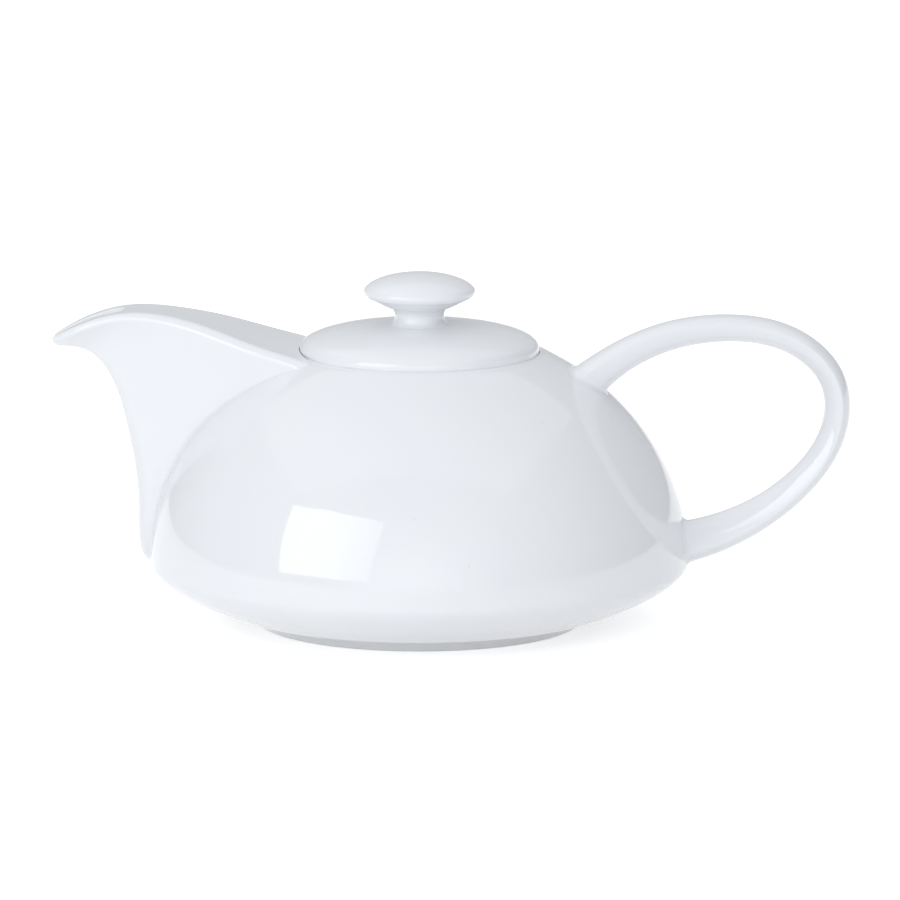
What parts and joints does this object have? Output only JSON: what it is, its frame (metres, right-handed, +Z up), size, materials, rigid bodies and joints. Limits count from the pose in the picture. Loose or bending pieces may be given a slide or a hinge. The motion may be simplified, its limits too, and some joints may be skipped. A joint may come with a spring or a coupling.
{
  "type": "teapot",
  "caption": "Squat white porcelain teapot with a domed body, a broad beak spout with an open pouring gutter, a loop handle and a lift-off lid with a mushroom knob",
  "frame": {"origin": "centre of the foot ring, on the table", "axes": "+Z up along the pot's axis, +X toward the handle, -X toward the spout"},
  "size_m": [0.2632, 0.1776, 0.1167],
  "materials": {
    "porcelain": "gloss"
  },
  "bodies": {
    "pot": {"pot_body": "porcelain", "spout": "porcelain", "handle": "porcelain"},
    "lid_assembly": {"lid": "porcelain", "lid_knob": "porcelain"}
  },
  "joints": [
    {"name": "lid_lift", "type": "slide", "parent": "pot", "child": "lid_assembly", "axis": [0, 0, 1], "range_m": [0, 0.1]}
  ]
}
